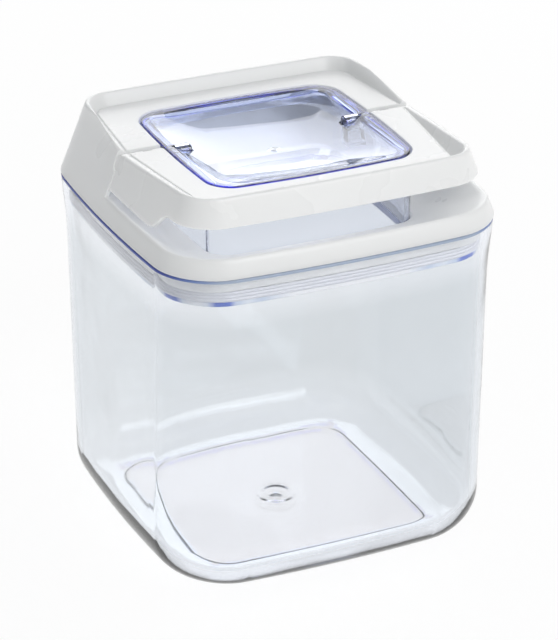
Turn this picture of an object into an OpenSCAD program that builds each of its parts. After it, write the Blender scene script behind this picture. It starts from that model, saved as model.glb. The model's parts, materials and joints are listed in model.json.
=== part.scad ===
// Square food canister with a flip handle lid.
// Millimetres. +Z up, the front (finger gap) faces -Y, origin at the centre of the base.

/* [Canister] */
// overall width and depth at the rim
body_w = 110; // [90:1:150]
// height of the tub's rim above the table
rim_h = 106.8; // [70:0.2:200]
// plan corner radius at the rim
corner_r = 24; // [18:0.5:26]
// wall thickness of the tub
wall = 2.2; // [1.5:0.1:3.5]
// thickness of the tub's floor
floor_t = 3; // [2:0.1:5]
// radius between the tub's sides and its bottom
bottom_r = 14; // [6:0.5:14.5]
// depth of the raised foot pad under the tub
foot_h = 1.2; // [0.5:0.1:3]
// how far the tub's sides flare out under the rim
flare = 0.8; // [0:0.1:1.5]

/* [Lid] */
// height of the flat panel above the rim
panel_rise = 18.2; // [15:0.1:30]
// height of the raised edge above the panel at front and rear
edge_rise = 3.4; // [1:0.1:6]
// how far the lid's sides lean in for each millimetre of height
lean = 0.43; // [0.2:0.01:0.6]
// height of the outer band that rests on the rim
band_h = 5.6; // [3:0.1:9]
// thickness of the white shell
shell_t = 1.8; // [1.2:0.1:3]
// width of the top of the raised edge
edge_w = 1.5; // [0.8:0.1:3]
// height of the finger gap between the band and the handle
finger_gap = 7.8; // [6:0.1:9]

/* [Window] */
// width of the clear window
win_w = 66.8; // [50:0.2:80]
// front edge of the window
win_front = -33; // [-40:0.2:-20]
// rear edge of the window
win_rear = 32.6; // [20:0.2:40]
// depth of the window's dish
dish = 3.6; // [1:0.1:5]

/* [Mechanism] */
// distance of the hinge line behind the centre
hinge_y = 3.8; // [0:0.1:8]
// depth of the hinge line below the panel
hinge_drop = 2.45; // [2.2:0.05:3.5]
// diameter of the cam pins
pin_d = 2.4; // [2:0.1:3]
// offset of each pin's stub from the hinge line
throw = 0.8; // [0.4:0.05:1]
// half of the handle's swing, which the stub crosses level at
half_swing = 40; // [30:1:45]
// underside of the seal plate above the table
plate_z = 97.4; // [80:0.1:100]

/* [Hidden] */
$fn = 64;
e = 0.01;
hw = body_w / 2;                    // half width at the rim
cc = hw - corner_r;                 // corner centre, the same at every height
hb = hw - flare;                    // half width of the straight sides
flare_z = rim_h - 17.8;
panel_z = rim_h + panel_rise;
edge_z = panel_z + edge_rise;
ledge_z = rim_h + band_h;
grip_z = ledge_z + finger_gap;      // lower edge of the handle's front
skirt_z = ledge_z + 2.3;            // lower edge of the handle's arms
floor_z = rim_h - 3.1;              // top of the lid frame's floor
under_z = floor_z - 1.6;            // its underside, which the gasket meets
hz = panel_z - hinge_drop;          // hinge line
win_z = panel_z - 0.1;
ww = win_w / 2;
gap = 0.4;                          // round the window
pr = pin_d / 2;
run = 0.05;                         // running clearance of the pins
box_front = -31.4;                   // front wall of the seal plate's box
plate_t = 1.6;
ear_x = 37.4;                       // inner face of a hinge ear
ear_t = 2.4;
ear_r = 1.75;
barrel_r = 1.65;
pin_end = 43.6;                     // outer end of a pin
stub_in = 24.8;                     // inner end of a pin
boss_in = 25.2;                     // inner face of a window boss
tray_w = 44.6;                      // half width of the sunken panel at the hinge line
skirt_w = 51.6;                     // half width of the plug skirt inside the rim

function half(z) = hw - lean * (z - rim_h);   // half width of the lid at a height

// solid with a square plan and round corners, half width a at z0 and b at z1
module taper(z0, z1, a, b) {
  for (q = [0, 90]) rotate([0, 0, q]) rotate([90, 0, 0])
    linear_extrude(2 * cc, center = true) polygon([[-a, z0], [a, z0], [b, z1], [-b, z1]]);
  for (x = [-cc, cc], y = [-cc, cc]) translate([x, y, z0])
    cylinder(r1 = a - cc, r2 = b - cc, h = z1 - z0);
}

// plain rectangle with round corners, from z0 to z1
module slab(x0, x1, y0, y1, r, z0, z1) {
  translate([0, 0, z0]) linear_extrude(z1 - z0) {
    translate([x0 + r, y0]) square([x1 - x0 - 2 * r, y1 - y0]);
    translate([x0, y0 + r]) square([x1 - x0, y1 - y0 - 2 * r]);
    for (x = [x0 + r, x1 - r], y = [y0 + r, y1 - r]) translate([x, y]) circle(r);
  }
}

// half section of the tub, from the corner centre outwards
module tub_half(a, f, zb, zt, at) {
  translate([0, zb]) square([a - cc - f, zt - zb]);
  translate([0, zb + f]) square([a - cc, flare_z - zb - f]);
  translate([a - cc - f, zb + f]) intersection() { circle(f); translate([0, -f]) square(f); }
  polygon([[0, flare_z - e], [a - cc, flare_z - e], [a - cc, flare_z], [at - cc, zt], [0, zt]]);
}

module tub_solid(a, f, zb, zt, at) {
  for (q = [0:90:270]) rotate([0, 0, q]) {
    translate([cc, cc, 0]) rotate_extrude() tub_half(a, f, zb, zt, at);
    translate([cc, 0, 0]) rotate([90, 0, 0]) linear_extrude(2 * cc, center = true)
      tub_half(a, f, zb, zt, at);
  }
  translate([-cc - e, -cc - e, zb]) cube([2 * cc + 2 * e, 2 * cc + 2 * e, zt - zb]);
}

module canister() {
  color([0.84, 0.88, 0.90, 0.35]) {
    difference() {
      tub_solid(hb, bottom_r, foot_h, rim_h, hw);
      tub_solid(hb - wall, bottom_r - wall, foot_h + floor_t, rim_h + 1, hw - wall);
    }
    slab(-37, 37, -37, 37, 9, 0, foot_h + 1);
  }
}

// everything in front of (side -1) or behind (side 1) a plane across the lid at y
module half_space(side, y, z0, z1) {
  translate([-60, side < 0 ? y - 120 : y, z0]) cube([120, 120, z1 - z0]);
}

// bar along X with its section given in Y and Z, measured from the hinge line
module along_x(x0, x1) {
  translate([x0, hinge_y, hz]) rotate([90, 0, 90]) linear_extrude(x1 - x0) children();
}

// the lid's outer shape above z0, with the raised edge running down to the panel at the hinge line
module lid_outer(z0) {
  intersection() {
    taper(z0, edge_z, half(z0), half(edge_z));
    rotate([90, 0, 90]) translate([0, 0, -60]) linear_extrude(120)
      polygon([[-60, z0 - 1], [60, z0 - 1], [60, edge_z], [hinge_y + 24, edge_z], [hinge_y, panel_z],
               [-38, edge_z], [-60, edge_z]]);
  }
}

// right half of the sunken panel's outline: w wide at the hinge line, then a straight arm to a at depth c,
// and a corner of size d in three steps to the far side at b
function tray_plan(side, w, a, b, c, d) = [[w, hinge_y], [a, side * c], [a - d * 0.13, side * (c + d * 0.5)],
  [a - d * 0.5, side * (b - d * 0.13)], [a - d, side * b]];

module tray_layer(side, w, a, b, c, d) {
  p = tray_plan(side, w, a, b, c, d);
  linear_extrude(e) polygon(concat(p, [for (i = [len(p) - 1:-1:0]) [-p[i][0], p[i][1]]]));
}

// the sunken space over the panel: its walls lean outwards to the raised edge
module tray(side) {
  top = half(edge_z) - edge_w;
  hull() {
    translate([0, 0, panel_z]) {
      if (side < 0) tray_layer(-1, tray_w, 40, 41.4, 34, 7);
      else tray_layer(1, tray_w, 42.6, 42, 33.6, 8);
    }
    translate([0, 0, edge_z]) tray_layer(side, 48, top, top, top - 12, 11.5);
  }
}

module window_cut(z0, z1) {
  slab(-ww - gap, ww + gap, win_front - gap, win_rear + gap, 7.9, z0, z1);
}

// the floor rises to the ledge in each front corner
module corner_rise() {
  rotate([90, 0, 0]) linear_extrude(90, center = true)
    polygon([[45, floor_z - 2], [80, floor_z - 2], [80, ledge_z - 1.2], [60, ledge_z - 1.2], [45, floor_z]]);
}

module band_and_floor() {
  difference() {
    union() {
      taper(rim_h, ledge_z, hw, half(ledge_z));
      taper(under_z, rim_h + e, skirt_w, skirt_w);
    }
    difference() {
      taper(floor_z, ledge_z + e, 41, half(ledge_z) - 1);
      for (q = [-45, -135]) rotate([0, 0, q]) corner_rise();
    }
    slab(-ww - gap, ww + gap, box_front - gap, win_rear + gap, 6.9, under_z - 1, floor_z + 1);
  }
}

module rear_shell() {
  difference() {
    intersection() {
      lid_outer(ledge_z - e);
      half_space(1, hinge_y + 0.25, ledge_z - 1, edge_z + 1);
    }
    taper(ledge_z - 1, panel_z - shell_t, half(ledge_z - 1) - 2, half(panel_z - shell_t) - 2);
    tray(1);
    window_cut(panel_z - 5, panel_z + 5);
    // room for the handle's barrel and for its end as it swings up
    along_x(-60, 60) {
      circle(barrel_r + 0.3);
      polygon([[-2, 0], [2.05, 0], [2.05, 0.65], [2.5, 1.2], [2.6, 9], [-2, 9]]);
    }
  }
}

module hinge_ear(x) {
  difference() {
    union() {
      translate([x, hinge_y - ear_r, floor_z - e]) cube([ear_t, 2 * ear_r, hz - floor_z + e]);
      translate([x, hinge_y, hz]) rotate([0, 90, 0]) cylinder(r = ear_r, h = ear_t);
    }
    translate([x - 1, hinge_y, hz]) rotate([0, 90, 0]) cylinder(r = pr + run, h = ear_t + 2);
  }
}

module lid_frame() {
  color([0.93, 0.93, 0.92]) {
    band_and_floor();
    rear_shell();
    for (x = [ear_x, -ear_x - ear_t]) hinge_ear(x);
  }
}

module handle_shell() {
  difference() {
    intersection() {
      lid_outer(skirt_z);
      half_space(-1, hinge_y - 0.25, skirt_z - 1, edge_z + 1);
    }
    // hollow inside, with a lip left round the window
    difference() {
      taper(skirt_z - 1, panel_z - shell_t, half(skirt_z - 1) - 2, half(panel_z - shell_t) - 2);
      slab(-ww - gap - 1.4, ww + gap + 1.4, win_front - gap - 1.4, win_rear + 9, 9.3, hz - 2, panel_z);
    }
    window_cut(skirt_z - 2, panel_z + 5);
    tray(-1);
    // the front is cut higher than the arms, with a slope between
    rotate([90, 0, 90]) translate([0, 0, -60]) linear_extrude(120)
      polygon([[-90, skirt_z - 3], [-26.5, skirt_z - 3], [-26.5, skirt_z], [-33, grip_z], [-90, grip_z]]);
    along_x(-60, 60)
      polygon([[-0.25, hinge_drop - 0.5], [1, hinge_drop - 0.5], [1, 4], [-0.75, 4], [-0.75, hinge_drop]]);
  }
}

module handle_hinge(s) {
  mirror([s < 0 ? 1 : 0, 0, 0]) {
    intersection() {
      along_x(ww + gap, 48) circle(barrel_r);
      taper(skirt_z, edge_z, half(skirt_z) - 0.4, half(edge_z) - 0.4);
    }
  }
}

module flip_handle() {
  color([0.94, 0.94, 0.93]) difference() {
    union() {
      handle_shell();
      for (s = [-1, 1]) handle_hinge(s);
    }
    for (s = [-1, 1]) mirror([s < 0 ? 1 : 0, 0, 0]) {
      along_x(ear_x - 0.3, ear_x + ear_t + 0.3) circle(2.0);
      along_x(30, pin_end - 2.6) circle(pr);
      along_x(pin_end - 2.6 - e, pin_end) d_section();
    }
  }
}

// round pin with one flat, which keys it to the handle
module d_section() {
  difference() {
    circle(pr);
    translate([-2, 0.7]) square([4, 2]);
  }
}

module window() {
  rs = (30 * 30 + dish * dish) / (2 * dish);
  color([0.86, 0.90, 0.96, 0.35]) difference() {
    union() {
      difference() {
        union() {
          slab(-ww, ww, win_front, win_rear, 7.5, win_z - 2, win_z);
          slab(-ww + 1.65, ww - 1.65, box_front + 1.65, win_rear - 1.65, 4.8, win_z - 5, win_z - 1.9);
        }
        slab(-ww + 3.05, ww - 3.05, box_front + 3.05, win_rear - 3.05, 3.5, win_z - 6, win_z - 2);
        translate([0, 0, win_z + rs - dish]) sphere(rs, $fn = 128);
      }
      intersection() {
        slab(-ww + 2, ww - 2, box_front + 2, win_rear - 2, 4.5, win_z - 8, win_z - 0.5);
        difference() {
          translate([0, 0, win_z + rs - dish]) sphere(rs + 1.6, $fn = 128);
          translate([0, 0, win_z + rs - dish]) sphere(rs, $fn = 128);
        }
      }
      for (x = [boss_in, -ww]) translate([x, hinge_y + throw * cos(half_swing / 2), win_z - 2.2])
        rotate([0, 90, 0]) cylinder(r = 2.2, h = ww - boss_in);
    }
    for (x = [boss_in - 9, -ww - 1])
      translate([x, hinge_y + throw * (1 + cos(half_swing)) / 2, hz + throw * sin(half_swing)])
        rotate([0, 90, 0]) for (d = [-0.12, 0.12]) translate([0, d, 0])
          cylinder(r = pr + 0.07, h = ww - boss_in + 10);
  }
}

module seal_plate() {
  color([0.86, 0.90, 0.96, 0.35]) difference() {
    union() {
      slab(-51.2, 51.2, -51.2, 51.2, 51.2 - cc, plate_z, plate_z + plate_t);
      difference() {
        slab(-ww, ww, box_front, win_rear, 6.5, plate_z, win_z - 2);
        for (x = [-ww - 1, ww - 3]) translate([x, hinge_y + throw - 2.7, win_z - 5]) cube([4, 5.4, 9]);
      }
      for (x = [26.2, -32]) slab_post(x);
    }
    difference() {
      slab(-ww + 1.6, ww - 1.6, box_front + 1.6, win_rear - 1.6, 4.9, plate_z - 1, win_z);
      for (x = [26.2, -32]) slab_post(x);
    }
  }
}

// cradle under each pin boss, open at the top
module slab_post(x) {
  translate([x, hinge_y + throw - 2.6, win_z - 11]) difference() {
    cube([5.8, 5.2, 6]);
    translate([x > 0 ? 1.2 : -1, 1.2, 1.2]) cube([5.6, 2.8, 9]);
  }
}

module gasket() {
  color([0.86, 0.87, 0.90]) difference() {
    slab(-51.8, 51.8, -51.8, 51.8, 51.8 - cc, plate_z + plate_t, under_z);
    slab(-46.4, 46.4, -46.4, 46.4, 46.4 - cc, plate_z, under_z + 1);
  }
}

module cam_pin(s) {
  color([0.80, 0.81, 0.83]) mirror([s < 0 ? 1 : 0, 0, 0]) {
    along_x(ww + 0.2, pin_end - 2.6) circle(pr);
    along_x(pin_end - 2.6 - e, pin_end) d_section();
    along_x(stub_in, ww + 0.2 + e)
      translate([throw * cos(half_swing), throw * sin(half_swing)]) circle(pr);
  }
}

module cam_pin_left() { cam_pin(-1); }
module cam_pin_right() { cam_pin(1); }

canister();
lid_frame();
flip_handle();
window();
seal_plate();
gasket();
cam_pin_left();
cam_pin_right();
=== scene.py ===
# Looks of the square food canister with a flip handle lid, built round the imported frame.
# Lengths in the script are millimetres; Blender gets metres. +Z up, the front faces -Y.
import json
import math
from functools import lru_cache

import bmesh
import bpy
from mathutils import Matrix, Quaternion, Vector
from mathutils.geometry import delaunay_2d_cdt


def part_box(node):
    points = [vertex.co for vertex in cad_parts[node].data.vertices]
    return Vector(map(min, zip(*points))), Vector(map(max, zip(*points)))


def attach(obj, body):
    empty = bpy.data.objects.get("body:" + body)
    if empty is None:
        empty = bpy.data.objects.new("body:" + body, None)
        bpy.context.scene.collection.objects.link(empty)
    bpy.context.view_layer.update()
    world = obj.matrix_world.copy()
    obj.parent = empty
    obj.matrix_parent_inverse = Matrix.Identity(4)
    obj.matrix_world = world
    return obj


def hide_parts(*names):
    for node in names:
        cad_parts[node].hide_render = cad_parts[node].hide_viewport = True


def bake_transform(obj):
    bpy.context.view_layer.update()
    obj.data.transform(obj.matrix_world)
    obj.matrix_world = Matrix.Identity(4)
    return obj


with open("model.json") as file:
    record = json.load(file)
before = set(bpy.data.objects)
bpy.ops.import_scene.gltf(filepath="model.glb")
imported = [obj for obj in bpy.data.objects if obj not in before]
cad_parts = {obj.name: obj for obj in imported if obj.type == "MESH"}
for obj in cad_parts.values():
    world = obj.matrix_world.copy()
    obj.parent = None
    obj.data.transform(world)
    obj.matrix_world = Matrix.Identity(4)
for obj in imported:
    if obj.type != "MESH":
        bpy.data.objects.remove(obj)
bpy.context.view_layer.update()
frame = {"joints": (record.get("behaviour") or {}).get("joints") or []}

MM = 0.001


def high(node, axis):
    """Highest coordinate of a CAD node along an axis, in millimetres."""
    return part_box(node)[1][axis] / MM


def low(node, axis):
    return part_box(node)[0][axis] / MM


hinge = next(j for j in frame["joints"] if j["name"] == "handle_flip")["pos_m"]
HINGE_Y, HINGE_Z = hinge[1] / MM, hinge[2] / MM
HALF = high("canister", 0)      # half width at the rim, at the middle of a side
RIM = high("canister", 2)
EDGE = high("lid_frame", 2)     # top of the raised edge
PANEL = EDGE - 3.4
LEDGE = RIM + 5.6
GRIP = LEDGE + 7.8              # lower edge of the handle's front
ARM_LOW = LEDGE + 2.3           # lower edge of the handle's arms
UNDER = low("lid_frame", 2)     # underside of the lid's floor
FLOOR = UNDER + 1.6
PLATE = low("seal_plate", 2)
WINDOW_TOP = high("window", 2)
LEAN = 0.43                     # how far the lid's sides lean in for each millimetre of height
SHELL = 1.8
CORNER = 36.3                   # corner centre of the lid's outlines, the same at every height

ARM, TURN, FAR = 14, 10, 24     # steps along an arm, round a corner, and along the far side
ROUND = 0.22                    # rounding of the edge at a cut
NEAR = [ROUND * s for s in (0, 0.134, 0.5, 1)]
INSET = [ROUND * s for s in (1, 0.5, 0.134, 0)]


# ---------------------------------------------------------------- outlines
def u_path(half, far, radius, cut, bow, way, widen=0.0):
    """Half an outline: from the cut at +X, round the rear (way 1) or the front (way -1), to the cut at -X.
    bow is how far each side bulges at its middle, and widen how much wider the arms are at the cut."""
    stop = way * (far - radius)
    near = [cut + way * d for d in NEAR]
    ys = near + [near[-1] + (stop - near[-1]) * i / ARM for i in range(1, ARM)]
    quarter = [(half + widen * (1 - (y - cut) / (stop - cut)), y) for y in ys]
    for i in range(TURN + 1):
        a = math.pi / 2 * i / TURN
        quarter.append((half - radius + radius * math.cos(a), way * (far - radius + radius * math.sin(a))))
    side = [((half - radius) * (1 - 2 * i / FAR), way * far) for i in range(1, FAR)]
    points = quarter + side + [(-x, y) for x, y in reversed(quarter)]
    return [
        (x + bow * x / half * (1 - (y / far) ** 2), y + bow * y / far * max(0, 1 - (x / half) ** 2))
        for x, y in points
    ]


def lid_bow(z):
    return 2.7 - 1.9 * (z - RIM) / (EDGE - RIM)


@lru_cache(maxsize=None)
def lid_path(z, cut, way, inset):
    half = HALF - LEAN * max(0, z - RIM) - lid_bow(max(z, RIM)) - inset
    return u_path(half, half, half - CORNER, cut, lid_bow(max(z, RIM)), way)


def lid_ring(height, cut, way, inset=0.0):
    """Half outline of the lid at a height, which may be a function of y."""
    ys = [y for _, y in lid_path(PANEL, cut, way, 0.0)]
    zs = [height(y) if callable(height) else height for y in ys]
    return [(*lid_path(z, cut, way, inset)[i], z) for i, z in enumerate(zs)]


def flat_ring(z, *path):
    return [(x, y, z) for x, y in u_path(*path)]


def both(make):
    """A closed ring: the rear half, and then the front half the other way."""
    rear, front = make(1), make(-1)
    return rear + front[-2:0:-1]


def edge_height(y):
    """The raised edge runs up from the panel at the hinge line to its full height."""
    share = (y - HINGE_Y) / 24 if y > HINGE_Y else (HINGE_Y - y) / 41.8
    return PANEL + (EDGE - PANEL) * min(1, max(0.004, share))


def tray_rings(cut, way):
    """Rings of the raised edge's inside: its top, its foot, and a fine groove where it meets the panel."""
    half, far, radius, widen = (40.2, 41.2, 5.2, 4.4) if way < 0 else (42.3, 41.6, 6.4, 2.3)
    top_radius = 7.0 if way < 0 else 7.4
    foot = flat_ring(PANEL, half, far, radius, cut, 0.5, way, widen)
    top = flat_ring(EDGE, 43.8, 43.8, top_radius, cut, 0.5, way, 4.2)
    mixed = []
    for (x0, y0, z0), (x1, y1, z1) in zip(foot, top):
        share = (edge_height(y0) - PANEL) / (EDGE - PANEL)
        mixed.append((x0 + (x1 - x0) * share, y0 + (y1 - y0) * share, PANEL + (EDGE - PANEL) * share))
    groove = [flat_ring(PANEL - drop, half - d, far - d, radius - d, cut, 0.5, way, widen)
              for d, drop in ((0.02, 0.42), (0.55, 0.42), (0.8, 0.0))]
    return [mixed] + groove


def square_ring(half, radius, bow, z, side=16, turn=12):
    """Closed square outline with round corners and bowed sides."""
    points = []
    centre = half - radius
    for q in range(4):
        local = [(half, -centre + 2 * centre * i / side) for i in range(side)]
        local += [
            (centre + radius * math.cos(math.pi / 2 * i / turn), centre + radius * math.sin(math.pi / 2 * i / turn))
            for i in range(turn)
        ]
        for x, y in local:
            x, y = x + bow * x / half * (1 - (y / half) ** 2), y + bow * y / half * (1 - (x / half) ** 2)
            for _ in range(q):
                x, y = -y, x
            points.append((x, y, z))
    return points


def rect_ring(half, y0, y1, radius, bow, z, side=16, turn=8):
    """Closed outline that isn't as deep as it is wide."""
    mid, deep = (y0 + y1) / 2, (y1 - y0) / 2
    out = []
    corners = [(half - radius, deep - radius), (-half + radius, deep - radius),
               (-half + radius, -deep + radius), (half - radius, -deep + radius)]
    for k, (cx, cy) in enumerate(corners):
        px, py = corners[k - 1]
        a0 = math.pi / 2 * k
        sx, sy = px + radius * math.cos(a0), py + radius * math.sin(a0)
        ex, ey = cx + radius * math.cos(a0), cy + radius * math.sin(a0)
        out += [(sx + (ex - sx) * i / side, sy + (ey - sy) * i / side) for i in range(side)]
        out += [(cx + radius * math.cos(a0 + math.pi / 2 * i / turn),
                 cy + radius * math.sin(a0 + math.pi / 2 * i / turn)) for i in range(turn)]
    return [(x + bow * x / half * (1 - (y / deep) ** 2),
             mid + y + bow * y / deep * (1 - (x / half) ** 2), z) for x, y in out]


def to_circle(ring, radius, z, share, mid_y=0.0):
    """A ring part of the way to a circle."""
    out = []
    for x, y, _ in ring:
        a = math.atan2(y - mid_y, x)
        out.append((x + (radius * math.cos(a) - x) * share,
                    y + (mid_y + radius * math.sin(a) - y) * share, z))
    return out


# ---------------------------------------------------------------- sections and meshes
def rounded(corners, radii, steps=4, closed=True):
    """A section with its corners rounded. A radius of 0 gives as many points, all at the corner."""
    out = []
    n = len(corners)
    for k in range(n):
        p = Vector(corners[k])
        if not closed and k in (0, n - 1):
            out.append(p)
            continue
        a, b = Vector(corners[k - 1]) - p, Vector(corners[(k + 1) % n]) - p
        start = p + a.normalized() * min(radii[k], 0.45 * a.length)
        end = p + b.normalized() * min(radii[k], 0.45 * b.length)
        for s in range(steps + 1):
            t = s / steps
            out.append(start * (1 - t) ** 2 + p * 2 * t * (1 - t) + end * t * t)
    return out


def shrink(points, amount):
    """A section drawn in by an amount within its plane, X and Z."""
    n = len(points)
    area = sum(points[i - 1].x * points[i].z - points[i].x * points[i - 1].z for i in range(n))
    out = []
    for i, p in enumerate(points):
        j, k = i - 1, (i + 1) % n
        while (points[j] - p).length < 1e-4:
            j -= 1
        while (points[k] - p).length < 1e-4:
            k = (k + 1) % n
        d = points[k] - points[j]
        normal = Vector((-d.z, 0, d.x)) * (1 if area > 0 else -1)
        out.append(p + normal.normalized() * amount)
    return out


def grid(bm, rows):
    return [[bm.verts.new(Vector(p) * MM) for p in row] for row in rows]


def stitch(bm, rows, around=False, along=False):
    """Faces between neighbouring rows; around closes each row, and along joins the last row to the first."""
    made = []
    for r in range(len(rows) if along else len(rows) - 1):
        a, b = rows[r], rows[(r + 1) % len(rows)]
        for c in range(len(a) if around else len(a) - 1):
            d = (c + 1) % len(a)
            made.append(bm.faces.new((a[c], a[d], b[d], b[c])))
    return made


def cap(bm, row):
    face = bm.faces.new(row)
    bmesh.ops.triangulate(bm, faces=[face], ngon_method="EAR_CLIP")


def cap_section(bm, row):
    """Fills the outline of a section, which lies in a plane of X and Z."""
    row = [v for k, v in enumerate(row) if (v.co - row[k - 1].co).length > 1e-6]
    flat = [Vector((v.co.x, v.co.z)) for v in row]
    points, _, faces, origin, _, _ = delaunay_2d_cdt(flat, [], [list(range(len(row)))], 1, 1e-7)
    verts = [row[o[0]] if o else bm.verts.new((p.x, row[0].co.y, p.y)) for p, o in zip(points, origin)]
    for f in faces:
        bm.faces.new([verts[k] for k in f])


def cut_away(bm, tools):
    """A mesh with the tools' solids taken away from it."""
    solids = []
    for b in (bm, *tools):
        bmesh.ops.remove_doubles(b, verts=b.verts, dist=2e-7)
        bmesh.ops.recalc_face_normals(b, faces=b.faces)
        mesh = bpy.data.meshes.new("solid")
        b.to_mesh(mesh)
        b.free()
        mesh.materials.append(None)
        mesh.materials.append(None)
        obj = bpy.data.objects.new("solid", mesh)
        bpy.context.scene.collection.objects.link(obj)
        solids.append(obj)
    for tool in solids[1:]:
        mod = solids[0].modifiers.new("cut", "BOOLEAN")
        mod.operation, mod.solver, mod.object = "DIFFERENCE", "EXACT", tool
    out = bmesh.new()
    out.from_object(solids[0], bpy.context.evaluated_depsgraph_get())
    for obj in solids:
        mesh = obj.data
        bpy.data.objects.remove(obj)
        bpy.data.meshes.remove(mesh)
    return out


def piece(bm, name, body, material, nodes=(), sharp=40, extra=()):
    """Turns the mesh into a named piece that rides on a body; when body is a tuple (body, body, start, end), its
    entries are not used and the piece only has its transform baked in.
    """
    bmesh.ops.remove_doubles(bm, verts=bm.verts, dist=2e-7)
    bmesh.ops.dissolve_degenerate(bm, edges=bm.edges, dist=1e-7)
    bmesh.ops.recalc_face_normals(bm, faces=bm.faces)
    mesh = bpy.data.meshes.new(name)
    bm.to_mesh(mesh)
    bm.free()
    for m in (material, *extra):
        mesh.materials.append(m)
    mesh.shade_smooth()
    mesh.set_sharp_from_angle(angle=math.radians(sharp))
    obj = bpy.data.objects.new(name, mesh)
    bpy.context.scene.collection.objects.link(obj)
    mod = obj.modifiers.new("weighted", "WEIGHTED_NORMAL")
    mod.keep_sharp = True
    # lamps shine through the clear pieces and the handle's thin white shell
    obj.visible_shadow = material.name.startswith(("white_shell", "seal"))
    if isinstance(body, str):
        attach(obj, body)
    else:
        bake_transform(obj)
    if nodes:
        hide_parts(*nodes)


# ---------------------------------------------------------------- materials
def new_material(name):
    m = bpy.data.materials.new(name)
    m.use_nodes = True
    nt = m.node_tree
    shader = nt.nodes["Principled BSDF"]
    return m, nt, shader


def noise(nt, scale, detail=2.0, rough=0.5):
    coords = nt.nodes.new("ShaderNodeTexCoord")
    n = nt.nodes.new("ShaderNodeTexNoise")
    n.inputs["Scale"].default_value = scale
    n.inputs["Detail"].default_value = detail
    n.inputs["Roughness"].default_value = rough
    nt.links.new(coords.outputs["Object"], n.inputs["Vector"])
    return n


def ramp(nt, source, stops):
    r = nt.nodes.new("ShaderNodeValToRGB")
    elements = r.color_ramp.elements
    elements[0].position, elements[1].position = stops[0][0], stops[-1][0]
    for i, (at, colour) in enumerate(stops):
        if i == 0:
            element = elements[0]
        elif i == len(stops) - 1:
            element = elements[len(elements) - 1]
        else:
            element = elements.new(at)
        element.color = (*colour, 1)
    nt.links.new(source, r.inputs["Fac"])
    return r.outputs["Color"]


def object_axes(nt, away=False):
    """The place on the object, split into X, Y and Z. away gives distances from the middle."""
    coords = nt.nodes.new("ShaderNodeTexCoord")
    place = coords.outputs["Object"]
    if away:
        size = nt.nodes.new("ShaderNodeVectorMath")
        size.operation = "ABSOLUTE"
        nt.links.new(place, size.inputs[0])
        place = size.outputs[0]
    split = nt.nodes.new("ShaderNodeSeparateXYZ")
    nt.links.new(place, split.inputs[0])
    return split.outputs


def from_to(nt, source, start, end):
    """source as a share of the way from start to end, both in metres."""
    place = nt.nodes.new("ShaderNodeMapRange")
    place.inputs["From Min"].default_value = start
    place.inputs["From Max"].default_value = end
    nt.links.new(source, place.inputs["Value"])
    return place.outputs[0]


def greys(nt, source, low_grey, high_grey):
    """A mottle between two greys, for roughness."""
    return ramp(nt, source, [(0.3, (low_grey,) * 3), (0.7, (high_grey,) * 3)])


def bump(nt, shader, source, strength, distance):
    b = nt.nodes.new("ShaderNodeBump")
    b.inputs["Strength"].default_value = strength
    b.inputs["Distance"].default_value = distance
    nt.links.new(source, b.inputs["Height"])
    nt.links.new(b.outputs["Normal"], shader.inputs["Normal"])


def clear_plastic(name, tint, absorb, density, wave=0.4, bands=()):
    """Clear moulded plastic: a faint tint at each face, blue where light runs along inside, slight flow waves.
    bands are heights, each with its own tint."""
    m, nt, shader = new_material(name)
    shader.inputs["Base Color"].default_value = (*tint, 1)
    if bands:
        height = from_to(nt, object_axes(nt)["Z"], 0, RIM * MM)
        nt.links.new(ramp(nt, height, [(z / RIM, colour) for z, colour in bands]), shader.inputs["Base Color"])
    shader.inputs["Transmission Weight"].default_value = 1
    shader.inputs["IOR"].default_value = 1.56
    flow = noise(nt, 26, 1.5)
    haze = noise(nt, 90, 3)
    nt.links.new(ramp(nt, haze.outputs["Fac"], [(0.35, (0.012,) * 3), (0.75, (0.05,) * 3)]),
                 shader.inputs["Roughness"])
    bump(nt, shader, flow.outputs["Fac"], wave, 0.0008)
    volume = nt.nodes.new("ShaderNodeVolumeAbsorption")
    volume.inputs["Color"].default_value = (*absorb, 1)
    volume.inputs["Density"].default_value = density
    nt.links.new(volume.outputs["Volume"], nt.nodes["Material Output"].inputs["Volume"])
    return m


def white_plastic(name, colour, roughness):
    """White moulded plastic with a soft gloss, faint mottling and a very fine grain."""
    m, nt, shader = new_material(name)
    mottle = noise(nt, 38, 3)
    darker = tuple(c * 0.985 for c in colour)
    nt.links.new(ramp(nt, mottle.outputs["Fac"], [(0.3, darker), (0.7, colour)]), shader.inputs["Base Color"])
    grain = noise(nt, 2600, 2)
    nt.links.new(greys(nt, mottle.outputs["Fac"], roughness - 0.03, roughness + 0.04), shader.inputs["Roughness"])
    shader.inputs["IOR"].default_value = 1.5
    shader.inputs["Subsurface Weight"].default_value = 0.6
    shader.inputs["Subsurface Radius"].default_value = (1, 1, 1)
    shader.inputs["Subsurface Scale"].default_value = 0.003
    bump(nt, shader, grain.outputs["Fac"], 0.08, 0.00006)
    return m


def silicone(name):
    m, nt, shader = new_material(name)
    mottle = noise(nt, 60, 2)
    nt.links.new(ramp(nt, mottle.outputs["Fac"], [(0.3, (0.76, 0.77, 0.82)), (0.7, (0.80, 0.81, 0.85))]),
                 shader.inputs["Base Color"])
    nt.links.new(greys(nt, mottle.outputs["Fac"], 0.38, 0.5), shader.inputs["Roughness"])
    bump(nt, shader, noise(nt, 1800, 2).outputs["Fac"], 0.12, 0.00008)
    return m


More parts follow.
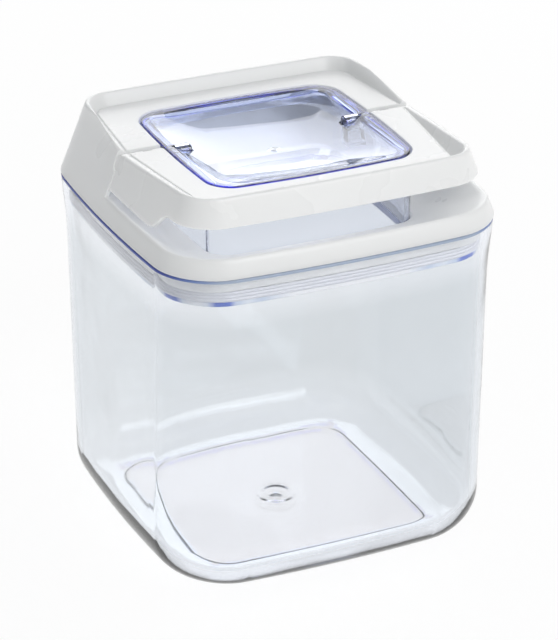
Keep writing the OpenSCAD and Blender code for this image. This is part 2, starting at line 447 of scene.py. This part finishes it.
def painted_rim_glow(name):
    """The tub's rim: a painted edge glow, opaque colour standing in for light that runs inside the clear walls and
    comes out here; deep blue at the sides, paler between.
    """
    m, nt, shader = new_material(name)
    side = from_to(nt, object_axes(nt, away=True)["X"], 0.040, 0.0525)
    nt.links.new(ramp(nt, side, [(0.0, (0.36, 0.43, 0.56)), (0.55, (0.16, 0.24, 0.50)), (1.0, (0.055, 0.085, 0.36))]),
                 shader.inputs["Base Color"])
    nt.links.new(greys(nt, noise(nt, 70, 2).outputs["Fac"], 0.12, 0.22), shader.inputs["Roughness"])
    shader.inputs["IOR"].default_value = 1.5
    return m


def plate_edge(name):
    """The seal plate's edge as opaque painted light: a pale painted highlight along the sides, and a deep blue
    painted edge glow where it turns into a corner and gathers light.
    """
    m, nt, shader = new_material(name)
    away = object_axes(nt, away=True)
    least = nt.nodes.new("ShaderNodeMath")
    least.operation = "MINIMUM"
    nt.links.new(away["X"], least.inputs[0])
    nt.links.new(away["Y"], least.inputs[1])
    patches = noise(nt, 34, 1)
    spread = nt.nodes.new("ShaderNodeMath")
    spread.operation = "MULTIPLY_ADD"
    spread.inputs[1].default_value = 0.012
    nt.links.new(patches.outputs["Fac"], spread.inputs[0])
    nt.links.new(least.outputs[0], spread.inputs[2])
    colour = ramp(nt, from_to(nt, spread.outputs[0], 0.0, 0.05), [
        (0.0, (0.97, 0.97, 0.98)), (0.45, (0.96, 0.965, 0.98)), (0.62, (0.62, 0.70, 0.84)),
        (0.72, (0.82, 0.87, 0.94)), (0.81, (0.60, 0.68, 0.84)), (0.85, (0.08, 0.16, 0.62)),
        (0.93, (0.08, 0.16, 0.60)), (0.97, (0.72, 0.78, 0.89)), (1.0, (0.86, 0.89, 0.93))])
    nt.links.new(colour, shader.inputs["Base Color"])
    nt.links.new(greys(nt, patches.outputs["Fac"], 0.12, 0.22), shader.inputs["Roughness"])
    shader.inputs["IOR"].default_value = 1.56
    return m


# painted highlight and painted edge glow for the seal plate's edge
PLATE_EDGE_PAINTED_GLOW = plate_edge("clear_plate_edge")
# painted light: the tub's tint is paler near its bottom curve and at its rim, brightening those parts
TUB = clear_plastic("clear_tub_plastic", (0.84, 0.858, 0.862), (0.55, 0.70, 1.0), 26, bands=[
    (4, (0.96, 0.965, 0.97)), (10, (0.93, 0.94, 0.945)), (20, (0.84, 0.858, 0.862)),
    (90, (0.84, 0.858, 0.862)), (97, (0.965, 0.97, 0.975))])
LENS = clear_plastic("clear_window_plastic", (0.95, 0.966, 0.985), (0.36, 0.50, 1.0), 110, 0.25)
# a strong blue tint on the window's edge faces: a painted edge glow standing in for light that runs inside the clear
# plastic
LENS_EDGE_PAINTED_GLOW = clear_plastic("clear_window_edge", (0.60, 0.70, 0.98), (0.40, 0.54, 1.0), 90, 0.1)
INNER = clear_plastic("clear_plate_plastic", (0.925, 0.935, 0.955), (0.45, 0.58, 1.0), 60, 0.25)
# a darker, warmer copy of the tub's plastic for its floor slab: painted shade
TUB_FLOOR_PAINTED_SHADE = clear_plastic("clear_tub_floor_plastic", (0.87, 0.83, 0.815), (0.55, 0.70, 1.0), 26)
# painted edge glow for the tub's rim
RIM_PAINTED_GLOW = painted_rim_glow("clear_rim_edge")
WHITE = white_plastic("white_shell_plastic", (0.86, 0.868, 0.865), 0.30)
WHITE_HANDLE = white_plastic("white_handle_plastic", (0.87, 0.876, 0.872), 0.27)
SEAL = silicone("seal_silicone")
PIN = clear_plastic("clear_pin_plastic", (0.93, 0.95, 0.99), (0.3, 0.42, 1.0), 70, 0.1)


# ---------------------------------------------------------------- tub
def make_tub():
    wall, floor_top, foot = 2.2, 4.2, 1.2
    bottom_round = 14.0

    def tub_ring(inset, z, out=0.0):
        share = min(1, max(0, (z - 89) / (RIM - 89)))
        half = HALF - 0.8 + 0.8 * share * share * (3 - 2 * share)
        radius = 21 - 4 * min(1, max(0, (z - 20) / (RIM - 20)))
        bow = 2.65 * (1 - 0.6 * min(1, max(0, inset - wall) / bottom_round))
        a = half - 2.65 - inset
        return square_ring(a, max(2.0, radius - inset), bow, z)

    rows = []

    def foot_ring(half, radius, z):
        return square_ring(half, radius, 0.6, z)

    # underneath, from the gate mark outwards
    start = foot_ring(36.2, 8.6, 0)
    rows += [to_circle(start, r, z, 1) for r, z in ((0.6, 0.25), (1.5, 0.22), (1.9, 0.06), (2.3, 0.0))]
    rows += [to_circle(start, r, 0.0, s) for r, s in ((8, 1), (20, 0.8), (30, 0.4))]
    rows += [start, foot_ring(36.75, 9, 0.12), foot_ring(37, 9.2, 0.4), foot_ring(37.05, 9.2, 0.95),
             foot_ring(37.3, 9.4, foot)]
    # outside, up to the rim
    steps = 12
    for i in range(1, steps + 1):
        a = math.pi / 2 * i / steps
        rows.append(tub_ring(bottom_round * (1 - math.sin(a)), foot + bottom_round * (1 - math.cos(a))))
    rows += [tub_ring(0, z) for z in (22, 35, 50, 65, 78, 86, 89, 93, 97, 101, 104, 105.7, 105.9)]
    rows += [tub_ring(d, RIM - h) for d, h in ((0, 0.5), (0.12, 0.2), (0.4, 0.04), (0.7, 0))]
    # inside, down to the floor
    rows += [tub_ring(wall - d, RIM - h) for d, h in ((0.7, 0), (0.4, 0.04), (0.12, 0.2), (0, 0.5))]
    rows += [tub_ring(wall, z) for z in (104, 101, 97, 93, 89, 86, 78, 65, 50, 35, 22)]
    inner = bottom_round - wall
    for i in range(steps, -1, -1):
        a = math.pi / 2 * i / steps
        rows.append(tub_ring(wall + inner * (1 - math.sin(a)), floor_top + inner * (1 - math.cos(a))))
    rows += [square_ring(36.8, 7.6, 0.7, floor_top - 0.02), square_ring(36.2, 7.3, 0.7, floor_top - 0.14),
             square_ring(35.4, 7.0, 0.7, floor_top - 0.2)]
    last = rows[-1]
    rows += [to_circle(last, r, floor_top - 0.2, s) for r, s in ((30, 0.4), (20, 0.8), (9, 1))]
    gate_mark = ((6.6, -0.2), (6.2, -0.16), (5.8, -0.02), (5.2, 0.06), (4.6, -0.02), (4.1, -0.2), (3.4, -0.3),
                 (2.6, -0.22), (1.8, -0.12), (0.9, -0.08))
    rows += [to_circle(last, r, floor_top + z, 1) for r, z in gate_mark]
    bm = bmesh.new()
    verts = grid(bm, rows)
    faces = stitch(bm, verts, around=True)
    cap(bm, verts[0])
    cap(bm, verts[-1])
    for f in faces:
        middle = f.calc_center_median() / MM
        # the rim's top faces take the painted blue edge glow
        if all(v.co.z / MM > 105.8 for v in f.verts):
            f.material_index = 1
        # the floor slab's faces take the darker copy of the plastic, a painted shade
        elif middle.z < floor_top + 0.4 and max(abs(middle.x), abs(middle.y)) < 36.9:
            f.material_index = 2
    piece(bm, "tub", "tub", TUB, ["canister"], sharp=60, extra=(RIM_PAINTED_GLOW, TUB_FLOOR_PAINTED_SHADE))


# ---------------------------------------------------------------- lid frame
REAR_CUT, FRONT_CUT = HINGE_Y + 0.25, HINGE_Y - 0.25
BOX_FRONT = 31.4                # front of the seal plate's box, from the centre
BITE = 2.55                     # radius of the seat that the handle's knuckle turns in
INNER_INSET = 2.0               # thickness of the lid's and the handle's sides
OPENING_RADIUS = 7.9            # corners of the opening round the window
EAR_IN, EAR_OUT = 37.4, 39.8    # faces of a hinge ear
EAR_RADIUS = 1.75


def make_lid_frame():
    def rear_cut(z):
        if z >= HINGE_Z:
            return HINGE_Y + BITE
        drop = HINGE_Z - z
        return max(REAR_CUT, HINGE_Y + math.sqrt(max(0, BITE * BITE - drop * drop)))

    n_rear = len(lid_path(PANEL, REAR_CUT, 1, 0.0))
    skirt = HALF - 51.6

    def box_ring(z):
        return both(lambda way: flat_ring(z, 33.0, 32.2 if way > 0 else 31.0, 6.9, REAR_CUT, 0.8, way))

    # the scoop's floor rises to the ledge in each front corner
    scoop = [(x, y, FLOOR + 0.5 * min(15, max(0, (abs(x) - y) * math.sqrt(0.5) - 45)))
             for x, y, _ in both(lambda way: flat_ring(FLOOR, 39.7, 39.7, 7.0, REAR_CUT, 1.3, way))]
    common = [
        both(lambda way: lid_ring(LEDGE, REAR_CUT, way, 1.3)),      # inner foot
        scoop,
        box_ring(FLOOR),
        box_ring(UNDER),
        both(lambda way: lid_ring(UNDER, REAR_CUT, way, skirt)),
        both(lambda way: lid_ring(RIM + 0.04, REAR_CUT, way, skirt)),
        both(lambda way: lid_ring(RIM + 0.04, REAR_CUT, way)),
        both(lambda way: lid_ring(LEDGE, REAR_CUT, way)),           # outer foot
    ]
    sizes = [1.2, 7.0, 0.4, 0.4, 0.6, 0.3, 0.35, 1.9]
    bm = bmesh.new()
    rows = []
    count = len(common[0])
    for i in range(count):
        y = common[0][i][1]
        ease = min(1, max(0, (REAR_CUT - y) / 2.5)) if i >= n_rear else 0
        radii = [sizes[0] * ease] + sizes[1:-1] + [sizes[-1] * ease]
        rows.append(rounded([ring[i] for ring in common], radii))
    # the section starts and ends in the ledge's two corners, so the ledge itself is left open here
    verts = grid(bm, rows)
    stitch(bm, verts, along=True)
    # front: the ledge between the two feet
    front = [verts[i % count] for i in range(n_rear - 1, count + 1)]
    stitch(bm, [[row[-1], row[0]] for row in front])
    # rear: up the wall, over the raised edge, across the panel and back down inside
    walls = (119.95, 120.3, 121.0, 121.9, HINGE_Z)
    opening = (32.4, 31.8, OPENING_RADIUS)
    tall = [lid_ring(z, rear_cut(z), 1) for z in walls]
    tall += [lid_ring(edge_height, rear_cut(EDGE), 1), *tray_rings(rear_cut(PANEL), 1),
             flat_ring(PANEL, *opening, rear_cut(EDGE), 1.3, 1),
             flat_ring(PANEL - SHELL, *opening, rear_cut(EDGE), 1.3, 1),
             lid_ring(PANEL - SHELL, rear_cut(EDGE), 1, INNER_INSET)]
    tall += [lid_ring(z, rear_cut(z), 1, INNER_INSET) for z in reversed(walls)]
    tall_sizes = [0] * len(walls) + [0.9, 0.5, 0.2, 0.2, 0.3, 0.5, 0.4, 0.8] + [0] * len(walls)
    extras = []
    for i in range(n_rear):
        corners = [verts[i][-1].co / MM] + [Vector(r[i]) for r in tall] + [verts[i][0].co / MM]
        section = rounded(corners, [0] + tall_sizes + [0], closed=False)
        j = min(i, n_rear - 1 - i)
        if j < len(INSET):
            section = shrink(section, INSET[j])
        extras.append(section[1:-1])
    mids = grid(bm, extras)
    full = [[verts[i][-1]] + mids[i] + [verts[i][0]] for i in range(n_rear)]
    stitch(bm, full)
    for row in (full[0], full[-1]):
        # the cut's face bends round the knuckle's seat up each wall, and is flat above the hinge line
        stitch(bm, [[row[0]] + row[1:26:5], [row[-1]] + row[-2:-27:-5]])
        cap_section(bm, row[25:67])
    piece(bm, "lid_frame_white", "lid", WHITE, ["lid_frame"], sharp=38)
    for s in (-1, 1):
        make_ear(s)


def make_ear(s):
    """Hinge ear: a post with a round eye that the cam pin turns in."""
    radius, hole, leg = EAR_RADIUS, 1.25, HINGE_Z - FLOOR
    x0, x1 = EAR_IN, EAR_OUT
    corner = math.atan2(leg, radius)
    angles = [math.pi * i / 24 for i in range(25)]
    angles += [math.pi + corner * i / 6 for i in range(1, 7)]
    angles += [math.pi + corner + (math.pi - 2 * corner) * i / 6 for i in range(1, 7)]
    angles += [2 * math.pi - corner + corner * i / 6 for i in range(1, 6)]

    def outline(a, grow):
        if math.sin(a) >= -1e-9:
            return (radius - grow) * math.cos(a), (radius - grow) * math.sin(a)
        c, d = abs(math.cos(a)), abs(math.sin(a))
        reach = min((radius - grow) / max(c, 1e-9), leg / d)
        return reach * math.cos(a), reach * math.sin(a)

    def loop(x, grow, bore=None):
        pts = []
        for a in angles:
            y, z = (bore * math.cos(a), bore * math.sin(a)) if bore else outline(a, grow)
            pts.append((s * x, HINGE_Y + y, HINGE_Z + z))
        return pts

    bm = bmesh.new()
    rows = [loop(x0, 0, hole + 0.12), loop(x0, 0.25), loop(x0 + 0.25, 0), loop(x1 - 0.25, 0), loop(x1, 0.25),
            loop(x1, 0, hole + 0.12), loop(x1 - 0.12, 0, hole), loop(x0 + 0.12, 0, hole)]
    stitch(bm, grid(bm, rows), around=True, along=True)
    piece(bm, f"hinge_ear_{'left' if s < 0 else 'right'}", "lid", WHITE, sharp=35)


# ---------------------------------------------------------------- handle
def make_handle():
    cut, way = FRONT_CUT, -1

    def lower(y):
        share = min(1, max(0, (-26.5 - y) / 6.5))
        return ARM_LOW + (GRIP - ARM_LOW) * share * share * (3 - 2 * share)

    def roof(y):
        """The panel's underside over the hinge ears, which it turns round."""
        near = max(0, (EAR_RADIUS + 0.2) ** 2 - (y - HINGE_Y) ** 2)
        return max(PANEL - SHELL, HINGE_Z + math.sqrt(near))

    def slot_ring(half, height):
        return [(x, y, height(y)) for x, y in u_path(half, half - 0.15, 9.0, cut, 0, way)]

    def flat(_):
        return PANEL - SHELL

    opening = (32.4, 32.2, OPENING_RADIUS)
    lip = (33.8, 33.6, 9.3)
    rings = [
        lid_ring(lower, cut, way),
        lid_ring(edge_height, cut, way),
        *tray_rings(cut, way),
        flat_ring(PANEL, *opening, cut, 1.3, way),
        flat_ring(HINGE_Z - 2, *opening, cut, 1.3, way),
        flat_ring(HINGE_Z - 2, *lip, cut, 1.3, way),
        flat_ring(PANEL - SHELL, *lip, cut, 1.3, way),
        slot_ring(EAR_IN - 0.25, flat), slot_ring(EAR_IN - 0.2, roof),
        slot_ring(EAR_OUT + 0.2, roof), slot_ring(EAR_OUT + 0.25, flat),
        lid_ring(PANEL - SHELL, cut, way, INNER_INSET),
        lid_ring(lower, cut, way, INNER_INSET),
    ]
    radii = [0.8, 1.0, 0.6, 0.2, 0.2, 0.3, 0.5, 0.4, 0.4, 0.4, 0, 0, 0, 0, 0.8, 0.6]
    n = len(rings[0])
    sections = []
    for i in range(n):
        section = rounded([r[i] for r in rings], radii)
        j = min(i, n - 1 - i)
        if j < len(INSET):
            section = shrink(section, INSET[j])
        sections.append(section)
    bm = bmesh.new()
    verts = grid(bm, sections)
    stitch(bm, verts, around=True)
    cap_section(bm, verts[0])
    cap_section(bm, verts[-1])
    piece(bm, "handle", "handle", WHITE_HANDLE, ["flip_handle"], sharp=38)
    for s in (-1, 1):
        make_knuckle(s, "inner", 33.95, lambda z: EAR_IN - 0.3)
        make_knuckle(s, "outer", EAR_OUT + 0.3, lambda z: HALF - LEAN * (z - RIM) - 0.12)


def make_knuckle(s, part, x0, outer):
    """The handle's hinge barrel: a tube whose end follows the lean of the lid's side."""
    radius, bore, steps = 2.3, 1.22, 40

    def loop(x, r):
        pts = []
        for i in range(steps):
            a = 2 * math.pi * i / steps
            y, z = HINGE_Y + r * math.cos(a), HINGE_Z + r * math.sin(a)
            pts.append((s * (x(z) if callable(x) else x), y, z))
        return pts

    bm = bmesh.new()
    rows = [loop(x0, radius - 0.2), loop(x0 + 0.06, radius - 0.06), loop(x0 + 0.2, radius),
            loop(lambda z: outer(z) - 0.2, radius), loop(lambda z: outer(z) - 0.06, radius - 0.06),
            loop(outer, radius - 0.2), loop(outer, bore), loop(x0, bore)]
    if part == "outer":
        rows = rows[:6]
        verts = grid(bm, rows)
        stitch(bm, verts, around=True)
        cap(bm, verts[0])
        cap(bm, verts[-1])
    else:
        stitch(bm, grid(bm, rows), around=True, along=True)
    side = "left" if s < 0 else "right"
    piece(bm, f"handle_knuckle_{part}_{side}", "handle", WHITE_HANDLE, sharp=35)


# ---------------------------------------------------------------- window, seal plate, gasket, pins
THROW = 0.8
SWING = math.radians(40)
STUB = (HINGE_Y + THROW * math.cos(SWING), HINGE_Z + THROW * math.sin(SWING))
SLOT_MID = (HINGE_Y + THROW * (1 + math.cos(SWING)) / 2, STUB[1])
SLOT_RADIUS, SLOT_HALF = 1.27, 0.12
PIN_RADIUS = 1.16
WINDOW_HALF, WINDOW_FRONT, WINDOW_REAR = 33.4, -33, 32.6
PLATE_THICK = 1.6
PLATE_CORNER = 34.7             # corner centre of the plate's flange


def round_loop(x, radius, centre, slot_half=0.0, sides=40):
    """A circle round a line along X, or a slot when its halves stand apart."""
    points = []
    for i in range(sides):
        a = 2 * math.pi * i / sides
        shift = slot_half if math.cos(a) >= 0 else -slot_half
        points.append((x, centre[0] + radius * math.cos(a) + shift, centre[1] + radius * math.sin(a)))
    return points


def pin_slot(s):
    """The space that a pin's stub moves in, as a bar along X."""
    bm = bmesh.new()
    verts = grid(bm, [round_loop(s * x, SLOT_RADIUS, SLOT_MID, SLOT_HALF) for x in (24.2, 34.4)])
    stitch(bm, verts, around=True)
    cap(bm, verts[0])
    cap(bm, verts[1])
    return bm


def make_window():
    """Clear dished window: a flange, a bowl that is square at its edge and round in the middle, and a plug ring."""
    depth, thick = 4.4, 1.6

    def ring(half, z, radius=7.5):
        bow = 1.4
        front, rear = WINDOW_FRONT + WINDOW_HALF - half + bow, WINDOW_REAR - WINDOW_HALF + half - bow
        return rect_ring(half - bow, front, rear, radius, bow, z)

    def plug(half, z, radius):
        bow = 0.8
        return rect_ring(half - bow, WINDOW_HALF - half - BOX_FRONT + bow, half - 2 * bow, radius, bow, z)

    def bowl(s, drop, under=0.0):
        """s is 1 at the bowl's edge and 0 in the middle."""
        z = WINDOW_TOP - depth * (1 - s ** 3.2) - under
        base = ring(31.3 * s + 0.01, z, max(0.6, 7.0 * s))
        return to_circle(base, 31.0 * s, z, (1 - s) ** 0.6, -0.2)

    shares = (0.985, 0.95, 0.9, 0.84, 0.76, 0.66, 0.55, 0.43, 0.3, 0.18, 0.09, 0.035, 0.008)
    rows = [ring(WINDOW_HALF, WINDOW_TOP - 0.35), ring(33.3, WINDOW_TOP - 0.1, 7.4), ring(33.0, WINDOW_TOP, 7.2),
            ring(32.6, WINDOW_TOP, 7.1), ring(32.0, WINDOW_TOP, 7.0)]
    rows += [bowl(s, depth) for s in shares]
    below = [bowl(s, depth, thick) for s in reversed(shares[2:])]
    rows2 = below + [plug(29.6, WINDOW_TOP - 2.4, 3.0), plug(30.0, WINDOW_TOP - 4.7, 3.2),
                     plug(30.35, WINDOW_TOP - 5, 3.4), plug(31.4, WINDOW_TOP - 5, 4.2),
                     plug(31.7, WINDOW_TOP - 4.7, 4.5), plug(31.7, WINDOW_TOP - 2.2, 4.5),
                     ring(32.2, WINDOW_TOP - 2, 6.4),
                     ring(33.1, WINDOW_TOP - 2, 7.2), ring(WINDOW_HALF, WINDOW_TOP - 1.7)]
    bm = bmesh.new()
    verts = grid(bm, rows)
    verts2 = grid(bm, rows2)
    around = len(verts[0])
    # the window's flange and outer plug faces take the painted blue edge glow
    edge = stitch(bm, verts, around=True)[:3 * around]
    edge += stitch(bm, verts2, around=True)[-around:]
    edge += stitch(bm, [verts2[-1], verts[0]], around=True)
    for f in edge:
        f.material_index = 1
    cap(bm, verts[-1])
    cap(bm, verts2[0])
    bm = cut_away(bm, [pin_slot(s) for s in (-1, 1)])
    piece(bm, "window_lens", "plate", LENS, ["window"], sharp=60, extra=(LENS_EDGE_PAINTED_GLOW,))


def tube_x(name, body, material, x0, x1, centre, radius, bore=None, nodes=()):
    """A round bar or tube along X with rounded ends. bore is (centre, radius, half slot length)."""
    soft = 0.2

    def loop(x, r):
        return round_loop(x, r, centre)

    way = 1 if x1 > x0 else -1
    rows = [loop(x0, radius - soft), loop(x0 + way * soft * 0.3, radius - soft * 0.3), loop(x0 + way * soft, radius),
            loop(x1 - way * soft, radius), loop(x1 - way * soft * 0.3, radius - soft * 0.3), loop(x1, radius - soft)]
    bm = bmesh.new()
    if bore:
        c, r, half = bore
        rows += [round_loop(x1, r, c, half), round_loop(x0, r, c, half)]
        stitch(bm, grid(bm, rows), around=True, along=True)
    else:
        verts = grid(bm, rows)
        stitch(bm, verts, around=True)
        cap(bm, verts[0])
        cap(bm, verts[-1])
    piece(bm, name, body, material, nodes, sharp=35)


def make_bosses_and_pins():
    boss_mid = (HINGE_Y + THROW * math.cos(SWING / 2), WINDOW_TOP - 2.2)
    for s, side in ((-1, "left"), (1, "right")):
        tube_x(f"window_boss_{side}", "plate", LENS, s * 25.2, s * 31.0, boss_mid, 2.15,
               bore=(SLOT_MID, SLOT_RADIUS, SLOT_HALF))
        # the pin: a journal on the hinge line and a stub beside it
        tube_x(f"cam_pin_{side}_journal", "handle", PIN, s * 33.6, s * 43.5,
               (HINGE_Y, HINGE_Z), PIN_RADIUS, nodes=[f"cam_pin_{side}"])
        tube_x(f"cam_pin_{side}_stub", "handle", PIN, s * 24.8, s * 33.59, STUB, PIN_RADIUS)


def make_plate():
    """Seal plate: a flange under the lid and a clear box up to the window, notched for the pins."""
    cut = HINGE_Y + THROW

    def flange(z):
        bow = 2.5
        half = 51.2 - bow
        return both(lambda way: [(x, y, z) for x, y in u_path(half, half, half - PLATE_CORNER, cut, bow, way)])

    def box(half, height):
        inset, bow = WINDOW_HALF - half, 0.8

        def part(way):
            far = (WINDOW_REAR if way > 0 else BOX_FRONT) - inset
            return [(x, y, height(y) if callable(height) else height)
                    for x, y in u_path(half - bow, far - bow, 6.5 - inset, cut, bow, way)]

        return both(part)

    def top(y):
        """The box's edge, which is notched round the pins."""
        return WINDOW_TOP - (5.0 if abs(y - cut) < 2.9 else 2.05)

    inside = WINDOW_HALF - PLATE_THICK
    rings = [flange(PLATE), flange(PLATE + PLATE_THICK), box(WINDOW_HALF, PLATE + PLATE_THICK), box(WINDOW_HALF, top),
             box(inside, top), box(inside, PLATE)]
    radii = [0.5, 0.5, 1.0, 0.4, 0.4, 0.4]
    rows = [rounded([r[i] for r in rings], radii) for i in range(len(rings[0]))]
    bm = bmesh.new()
    for f in stitch(bm, grid(bm, rows), around=True, along=True):
        at = f.calc_center_median() / MM
        # the plate's outer edge faces take the painted highlight and blue edge glow
        if abs(f.normal.z) < 0.8 and at.z < PLATE + PLATE_THICK and max(abs(at.x), abs(at.y)) > 40:
            f.material_index = 1
    piece(bm, "seal_plate_clear", "plate", INNER, ["seal_plate"], sharp=40, extra=(PLATE_EDGE_PAINTED_GLOW,))
    for s, side in ((-1, "left"), (1, "right")):
        make_post(s, side)


def make_post(s, side):
    """Cradle under a pin boss, open at the top."""
    y0, z0 = HINGE_Y + THROW - 2.6, WINDOW_TOP - 11
    profile = [(0, 0), (5.2, 0), (5.2, 6), (4.0, 6), (4.0, 1.2), (1.2, 1.2), (1.2, 6), (0, 6)]
    section = rounded([(0, y0 + y, z0 + z) for y, z in profile], [0.35] * 8, steps=3)
    bm = bmesh.new()
    rows = [[(s * x, p.y, p.z) for p in section] for x in (26.2, 31.7)]
    verts = grid(bm, rows)
    stitch(bm, verts, around=True)
    cap(bm, verts[0])
    cap(bm, verts[-1])
    piece(bm, f"plate_post_{side}", "plate", INNER, sharp=40)


def make_gasket():
    """Soft ring between the seal plate and the lid, with three shallow lips round its outside."""
    z0, z1 = PLATE + PLATE_THICK + 0.03, UNDER - 0.03
    steps, bow, corner, outer = 12, 2.55, 34.2, 51.55

    def ring(mid, z):
        return square_ring(mid - bow, mid - bow - corner, bow, z)

    rows = []
    for i in range(steps + 1):
        t = i / steps
        rows.append(ring(outer + 0.25 * abs(math.sin(3 * math.pi * t)), z0 + (z1 - z0) * t))
    rows += [ring(46.6, z1), ring(46.4, z1 - 0.2), ring(46.4, z0 + 0.2), ring(46.6, z0)]
    bm = bmesh.new()
    stitch(bm, grid(bm, rows), around=True, along=True)
    # its top is listed on the lid and its foot on the plate, but the piece only has its transform baked in
    between = ("lid", "plate", (0, 0, UNDER * MM), (0, 0, (PLATE + PLATE_THICK) * MM))
    piece(bm, "gasket_ring", between, SEAL, ["gasket"], sharp=50)


make_tub()
make_lid_frame()
make_handle()
make_window()
make_bosses_and_pins()
make_plate()
make_gasket()


# ---------------------------------------------------------------- stage, light and camera
def make_stage():
    bm = bmesh.new()
    size, steps = 9.0, 2
    bmesh.ops.create_grid(bm, x_segments=steps, y_segments=steps, size=size)
    mesh = bpy.data.meshes.new("floor")
    bm.to_mesh(mesh)
    bm.free()
    floor = bpy.data.objects.new("floor", mesh)
    bpy.context.scene.collection.objects.link(floor)
    floor.location.z = -0.05 * MM
    m, nt, shader = new_material("pale_floor")
    shader.inputs["Base Color"].default_value = (0.16, 0.16, 0.16, 1)
    shader.inputs["Roughness"].default_value = 0.9
    shader.inputs["Specular IOR Level"].default_value = 0.0
    # a light table, which keeps the floor pale under the clear tub
    shader.inputs["Emission Color"].default_value = (1, 1, 1, 1)
    shader.inputs["Emission Strength"].default_value = 0.86
    mesh.materials.append(m)


def area_light(name, at, target, size, power):
    data = bpy.data.lights.new(name, "AREA")
    data.shape = "RECTANGLE"
    data.size, data.size_y = size
    data.energy = power
    obj = bpy.data.objects.new(name, data)
    bpy.context.scene.collection.objects.link(obj)
    obj.location = at
    obj.rotation_mode = "QUATERNION"
    obj.rotation_quaternion = (Vector(target) - Vector(at)).to_track_quat("-Z", "Y")


def make_world():
    """Pale studio round the object: bright overhead and in front, dimmer to the left."""
    world = bpy.data.worlds.new("studio")
    bpy.context.scene.world = world
    world.use_nodes = True
    nt = world.node_tree
    back = nt.nodes["Background"]
    coords = nt.nodes.new("ShaderNodeTexCoord")
    dot = nt.nodes.new("ShaderNodeVectorMath")
    dot.operation = "DOT_PRODUCT"
    dot.inputs[1].default_value = Vector((0.42, -0.38, 0.82)).normalized()
    nt.links.new(coords.outputs["Generated"], dot.inputs[0])
    spread = nt.nodes.new("ShaderNodeMapRange")
    spread.inputs["From Min"].default_value = -1
    spread.inputs["From Max"].default_value = 1
    nt.links.new(dot.outputs["Value"], spread.inputs["Value"])
    colour = ramp(nt, spread.outputs[0], [(0.0, (0.24, 0.25, 0.26)), (0.28, (0.27, 0.28, 0.29)),
                                          (0.58, (0.45, 0.46, 0.47)), (0.94, (0.60, 0.60, 0.60))])
    nt.links.new(colour, back.inputs["Color"])
    back.inputs["Strength"].default_value = 1.0


def make_camera():
    azimuth, elevation = math.radians(-24.42), math.radians(25.74)
    distance, target = 0.91342, Vector((0.00018, -0.00327, 0.0651))
    back = Vector((math.sin(azimuth) * math.cos(elevation), -math.cos(azimuth) * math.cos(elevation),
                   math.sin(elevation)))
    data = bpy.data.cameras.new("camera")
    data.sensor_width, data.lens = 36, 3000 * 36 / 640
    data.clip_start, data.clip_end = 0.05, 50
    cam = bpy.data.objects.new("camera", data)
    bpy.context.scene.collection.objects.link(cam)
    cam.location = target + back * distance
    cam.rotation_mode = "QUATERNION"
    cam.rotation_quaternion = (-back).to_track_quat("-Z", "Y") @ Quaternion((0, 0, 1), math.radians(-0.1))
    bpy.context.scene.camera = cam


make_stage()
make_world()
area_light("key", (0.42, -1.22, 0.98), (0, 0, 0.11), (0.7, 0.6), 6)
area_light("softbox_rear", (0.70, 1.32, 0.70), (0, 0, 0.12), (1.5, 0.9), 9)
make_camera()
bpy.context.scene.view_settings.view_transform = "Standard"
bpy.context.scene.view_settings.look = "None"
